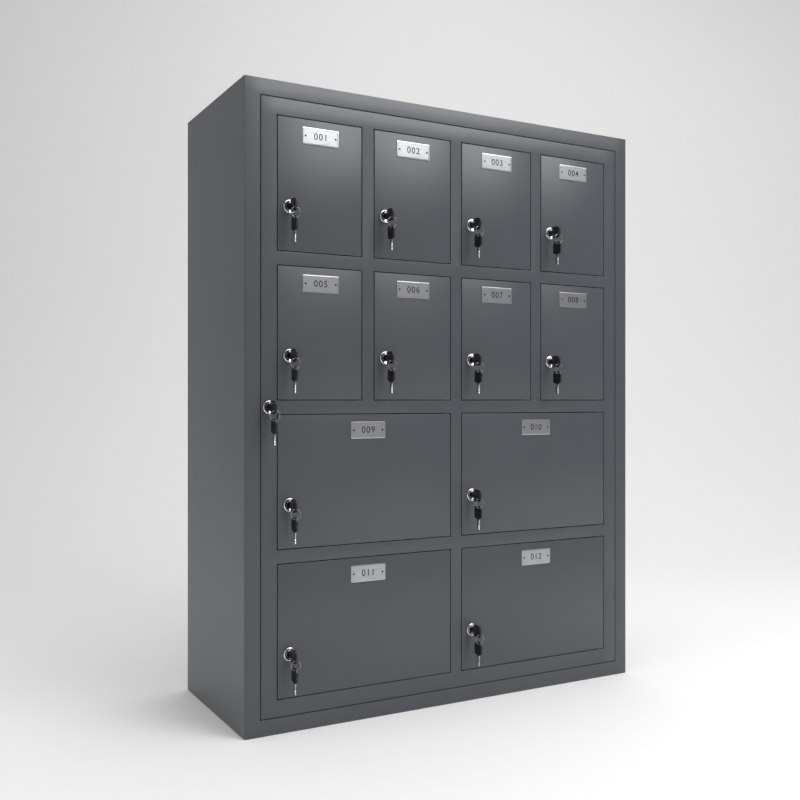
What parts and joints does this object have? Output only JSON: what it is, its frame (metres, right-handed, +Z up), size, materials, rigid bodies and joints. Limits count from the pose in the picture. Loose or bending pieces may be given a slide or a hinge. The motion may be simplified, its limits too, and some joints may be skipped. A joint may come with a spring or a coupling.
{
  "type": "parcel locker",
  "caption": "Free-standing sheet metal parcel locker: narrow and wide compartment doors hung in one lockable service door, each with a cam lock, key and spare key.",
  "frame": {"origin": "middle of the cabinet's footprint on the floor", "axes": "+Z up, the doors face -Y, +X to the right seen from the front"},
  "size_m": [0.9, 0.388, 1.2],
  "materials": {
    "cabinet_coat": "fine powder coat, satin",
    "border_coat": "fine powder coat, satin",
    "inner_sheet": "fine powder coat, satin",
    "service_door_coat": "fine powder coat, satin",
    "door_coat": "fine powder coat, satin",
    "lock_plating": "bright plated zinc",
    "plug_and_key": "plated plug and cam, black moulded key bow",
    "spare_key_metal": "nickel plated blade and ring, black moulded bow"
  },
  "bodies": {
    "cabinet": {"left_side_panel": "cabinet_coat", "right_side_panel": "cabinet_coat", "top_panel": "cabinet_coat", "base_panel": "cabinet_coat", "back_panel": "cabinet_coat", "front_surround": "border_coat", "shelves": "inner_sheet", "dividers": "inner_sheet"},
    "service_door": {"master_frame": "service_door_coat", "master_lock": "lock_plating"},
    "service_plug": {"master_plug": "plug_and_key"},
    "service_key_ring": {"master_spare_key": "spare_key_metal"},
    "door_01": {"small_door_01": "door_coat", "small_lock_01": "lock_plating"},
    "plug_01": {"small_plug_01": "plug_and_key"},
    "key_ring_01": {"spare_key_01": "spare_key_metal"},
    "door_02": {"small_door_02": "door_coat", "small_lock_02": "lock_plating"},
    "plug_02": {"small_plug_02": "plug_and_key"},
    "key_ring_02": {"spare_key_02": "spare_key_metal"},
    "door_03": {"small_door_03": "door_coat", "small_lock_03": "lock_plating"},
    "plug_03": {"small_plug_03": "plug_and_key"},
    "key_ring_03": {"spare_key_03": "spare_key_metal"},
    "door_04": {"small_door_04": "door_coat", "small_lock_04": "lock_plating"},
    "plug_04": {"small_plug_04": "plug_and_key"},
    "key_ring_04": {"spare_key_04": "spare_key_metal"},
    "door_05": {"small_door_05": "door_coat", "small_lock_05": "lock_plating"},
    "plug_05": {"small_plug_05": "plug_and_key"},
    "key_ring_05": {"spare_key_05": "spare_key_metal"},
    "door_06": {"small_door_06": "door_coat", "small_lock_06": "lock_plating"},
    "plug_06": {"small_plug_06": "plug_and_key"},
    "key_ring_06": {"spare_key_06": "spare_key_metal"},
    "door_07": {"small_door_07": "door_coat", "small_lock_07": "lock_plating"},
    "plug_07": {"small_plug_07": "plug_and_key"},
    "key_ring_07": {"spare_key_07": "spare_key_metal"},
    "door_08": {"small_door_08": "door_coat", "small_lock_08": "lock_plating"},
    "plug_08": {"small_plug_08": "plug_and_key"},
    "key_ring_08": {"spare_key_08": "spare_key_metal"},
    "door_09": {"small_door_09": "door_coat", "small_lock_09": "lock_plating"},
    "plug_09": {"small_plug_09": "plug_and_key"},
    "key_ring_09": {"spare_key_09": "spare_key_metal"},
    "door_10": {"small_door_10": "door_coat", "small_lock_10": "lock_plating"},
    "plug_10": {"small_plug_10": "plug_and_key"},
    "key_ring_10": {"spare_key_10": "spare_key_metal"},
    "door_11": {"small_door_11": "door_coat", "small_lock_11": "lock_plating"},
    "plug_11": {"small_plug_11": "plug_and_key"},
    "key_ring_11": {"spare_key_11": "spare_key_metal"},
    "door_12": {"small_door_12": "door_coat", "small_lock_12": "lock_plating"},
    "plug_12": {"small_plug_12": "plug_and_key"},
    "key_ring_12": {"spare_key_12": "spare_key_metal"}
  },
  "joints": [
    {"name": "service_door_hinge", "type": "hinge", "parent": "cabinet", "child": "service_door", "pos_m": [0.4065, -0.17, 0.6], "axis": [0, 0, 1], "range_deg": [0, 100]},
    {"name": "service_key_turn", "type": "hinge", "parent": "service_door", "child": "service_plug", "pos_m": [-0.403, -0.175, 0.6], "axis": [0, 1, 0], "range_deg": [0, 90]},
    {"name": "service_ring_swing", "type": "hinge", "parent": "service_plug", "child": "service_key_ring", "pos_m": [-0.403, -0.206, 0.59094], "axis": [0, 1, 0], "range_deg": [-90, 0]},
    {"name": "door_01_hinge", "type": "hinge", "parent": "service_door", "child": "door_01", "pos_m": [-0.2231, -0.171, 1.0125], "axis": [0, 0, 1], "range_deg": [0, 100]},
    {"name": "door_01_key_turn", "type": "hinge", "parent": "door_01", "child": "plug_01", "pos_m": [-0.3632, -0.175, 0.9701], "axis": [0, 1, 0], "range_deg": [0, 90]},
    {"name": "door_01_ring_swing", "type": "hinge", "parent": "plug_01", "child": "key_ring_01", "pos_m": [-0.3632, -0.206, 0.96104], "axis": [0, 1, 0], "range_deg": [-90, 0]},
    {"name": "door_02_hinge", "type": "hinge", "parent": "service_door", "child": "door_02", "pos_m": [-0.0231, -0.171, 1.0125], "axis": [0, 0, 1], "range_deg": [0, 100]},
    {"name": "door_02_key_turn", "type": "hinge", "parent": "door_02", "child": "plug_02", "pos_m": [-0.1632, -0.175, 0.9701], "axis": [0, 1, 0], "range_deg": [0, 90]},
    {"name": "door_02_ring_swing", "type": "hinge", "parent": "plug_02", "child": "key_ring_02", "pos_m": [-0.1632, -0.206, 0.96104], "axis": [0, 1, 0], "range_deg": [-90, 0]},
    {"name": "door_03_hinge", "type": "hinge", "parent": "service_door", "child": "door_03", "pos_m": [0.1769, -0.171, 1.0125], "axis": [0, 0, 1], "range_deg": [0, 100]},
    {"name": "door_03_key_turn", "type": "hinge", "parent": "door_03", "child": "plug_03", "pos_m": [0.0368, -0.175, 0.9701], "axis": [0, 1, 0], "range_deg": [0, 90]},
    {"name": "door_03_ring_swing", "type": "hinge", "parent": "plug_03", "child": "key_ring_03", "pos_m": [0.0368, -0.206, 0.96104], "axis": [0, 1, 0], "range_deg": [-90, 0]},
    {"name": "door_04_hinge", "type": "hinge", "parent": "service_door", "child": "door_04", "pos_m": [0.3769, -0.171, 1.0125], "axis": [0, 0, 1], "range_deg": [0, 100]},
    {"name": "door_04_key_turn", "type": "hinge", "parent": "door_04", "child": "plug_04", "pos_m": [0.2368, -0.175, 0.9701], "axis": [0, 1, 0], "range_deg": [0, 90]},
    {"name": "door_04_ring_swing", "type": "hinge", "parent": "plug_04", "child": "key_ring_04", "pos_m": [0.2368, -0.206, 0.96104], "axis": [0, 1, 0], "range_deg": [-90, 0]},
    {"name": "door_05_hinge", "type": "hinge", "parent": "service_door", "child": "door_05", "pos_m": [-0.2231, -0.171, 0.7375], "axis": [0, 0, 1], "range_deg": [0, 100]},
    {"name": "door_05_key_turn", "type": "hinge", "parent": "door_05", "child": "plug_05", "pos_m": [-0.3632, -0.175, 0.6951], "axis": [0, 1, 0], "range_deg": [0, 90]},
    {"name": "door_05_ring_swing", "type": "hinge", "parent": "plug_05", "child": "key_ring_05", "pos_m": [-0.3632, -0.206, 0.68604], "axis": [0, 1, 0], "range_deg": [-90, 0]},
    {"name": "door_06_hinge", "type": "hinge", "parent": "service_door", "child": "door_06", "pos_m": [-0.0231, -0.171, 0.7375], "axis": [0, 0, 1], "range_deg": [0, 100]},
    {"name": "door_06_key_turn", "type": "hinge", "parent": "door_06", "child": "plug_06", "pos_m": [-0.1632, -0.175, 0.6951], "axis": [0, 1, 0], "range_deg": [0, 90]},
    {"name": "door_06_ring_swing", "type": "hinge", "parent": "plug_06", "child": "key_ring_06", "pos_m": [-0.1632, -0.206, 0.68604], "axis": [0, 1, 0], "range_deg": [-90, 0]},
    {"name": "door_07_hinge", "type": "hinge", "parent": "service_door", "child": "door_07", "pos_m": [0.1769, -0.171, 0.7375], "axis": [0, 0, 1], "range_deg": [0, 100]},
    {"name": "door_07_key_turn", "type": "hinge", "parent": "door_07", "child": "plug_07", "pos_m": [0.0368, -0.175, 0.6951], "axis": [0, 1, 0], "range_deg": [0, 90]},
    {"name": "door_07_ring_swing", "type": "hinge", "parent": "plug_07", "child": "key_ring_07", "pos_m": [0.0368, -0.206, 0.68604], "axis": [0, 1, 0], "range_deg": [-90, 0]},
    {"name": "door_08_hinge", "type": "hinge", "parent": "service_door", "child": "door_08", "pos_m": [0.3769, -0.171, 0.7375], "axis": [0, 0, 1], "range_deg": [0, 100]},
    {"name": "door_08_key_turn", "type": "hinge", "parent": "door_08", "child": "plug_08", "pos_m": [0.2368, -0.175, 0.6951], "axis": [0, 1, 0], "range_deg": [0, 90]},
    {"name": "door_08_ring_swing", "type": "hinge", "parent": "plug_08", "child": "key_ring_08", "pos_m": [0.2368, -0.206, 0.68604], "axis": [0, 1, 0], "range_deg": [-90, 0]},
    {"name": "door_09_hinge", "type": "hinge", "parent": "service_door", "child": "door_09", "pos_m": [-0.0231, -0.171, 0.4625], "axis": [0, 0, 1], "range_deg": [0, 100]},
    {"name": "door_09_key_turn", "type": "hinge", "parent": "door_09", "child": "plug_09", "pos_m": [-0.3632, -0.175, 0.4201], "axis": [0, 1, 0], "range_deg": [0, 90]},
    {"name": "door_09_ring_swing", "type": "hinge", "parent": "plug_09", "child": "key_ring_09", "pos_m": [-0.3632, -0.206, 0.41104], "axis": [0, 1, 0], "range_deg": [-90, 0]},
    {"name": "door_10_hinge", "type": "hinge", "parent": "service_door", "child": "door_10", "pos_m": [0.3769, -0.171, 0.4625], "axis": [0, 0, 1], "range_deg": [0, 100]},
    {"name": "door_10_key_turn", "type": "hinge", "parent": "door_10", "child": "plug_10", "pos_m": [0.0368, -0.175, 0.4201], "axis": [0, 1, 0], "range_deg": [0, 90]},
    {"name": "door_10_ring_swing", "type": "hinge", "parent": "plug_10", "child": "key_ring_10", "pos_m": [0.0368, -0.206, 0.41104], "axis": [0, 1, 0], "range_deg": [-90, 0]},
    {"name": "door_11_hinge", "type": "hinge", "parent": "service_door", "child": "door_11", "pos_m": [-0.0231, -0.171, 0.1875], "axis": [0, 0, 1], "range_deg": [0, 100]},
    {"name": "door_11_key_turn", "type": "hinge", "parent": "door_11", "child": "plug_11", "pos_m": [-0.3632, -0.175, 0.1451], "axis": [0, 1, 0], "range_deg": [0, 90]},
    {"name": "door_11_ring_swing", "type": "hinge", "parent": "plug_11", "child": "key_ring_11", "pos_m": [-0.3632, -0.206, 0.13604], "axis": [0, 1, 0], "range_deg": [-90, 0]},
    {"name": "door_12_hinge", "type": "hinge", "parent": "service_door", "child": "door_12", "pos_m": [0.3769, -0.171, 0.1875], "axis": [0, 0, 1], "range_deg": [0, 100]},
    {"name": "door_12_key_turn", "type": "hinge", "parent": "door_12", "child": "plug_12", "pos_m": [0.0368, -0.175, 0.1451], "axis": [0, 1, 0], "range_deg": [0, 90]},
    {"name": "door_12_ring_swing", "type": "hinge", "parent": "plug_12", "child": "key_ring_12", "pos_m": [0.0368, -0.206, 0.13604], "axis": [0, 1, 0], "range_deg": [-90, 0]}
  ],
  "couplings": [
    {"joint": "service_ring_swing", "follows": "service_key_turn", "ratio": -1},
    {"joint": "door_01_ring_swing", "follows": "door_01_key_turn", "ratio": -1},
    {"joint": "door_02_ring_swing", "follows": "door_02_key_turn", "ratio": -1},
    {"joint": "door_03_ring_swing", "follows": "door_03_key_turn", "ratio": -1},
    {"joint": "door_04_ring_swing", "follows": "door_04_key_turn", "ratio": -1},
    {"joint": "door_05_ring_swing", "follows": "door_05_key_turn", "ratio": -1},
    {"joint": "door_06_ring_swing", "follows": "door_06_key_turn", "ratio": -1},
    {"joint": "door_07_ring_swing", "follows": "door_07_key_turn", "ratio": -1},
    {"joint": "door_08_ring_swing", "follows": "door_08_key_turn", "ratio": -1},
    {"joint": "door_09_ring_swing", "follows": "door_09_key_turn", "ratio": -1},
    {"joint": "door_10_ring_swing", "follows": "door_10_key_turn", "ratio": -1},
    {"joint": "door_11_ring_swing", "follows": "door_11_key_turn", "ratio": -1},
    {"joint": "door_12_ring_swing", "follows": "door_12_key_turn", "ratio": -1}
  ]
}
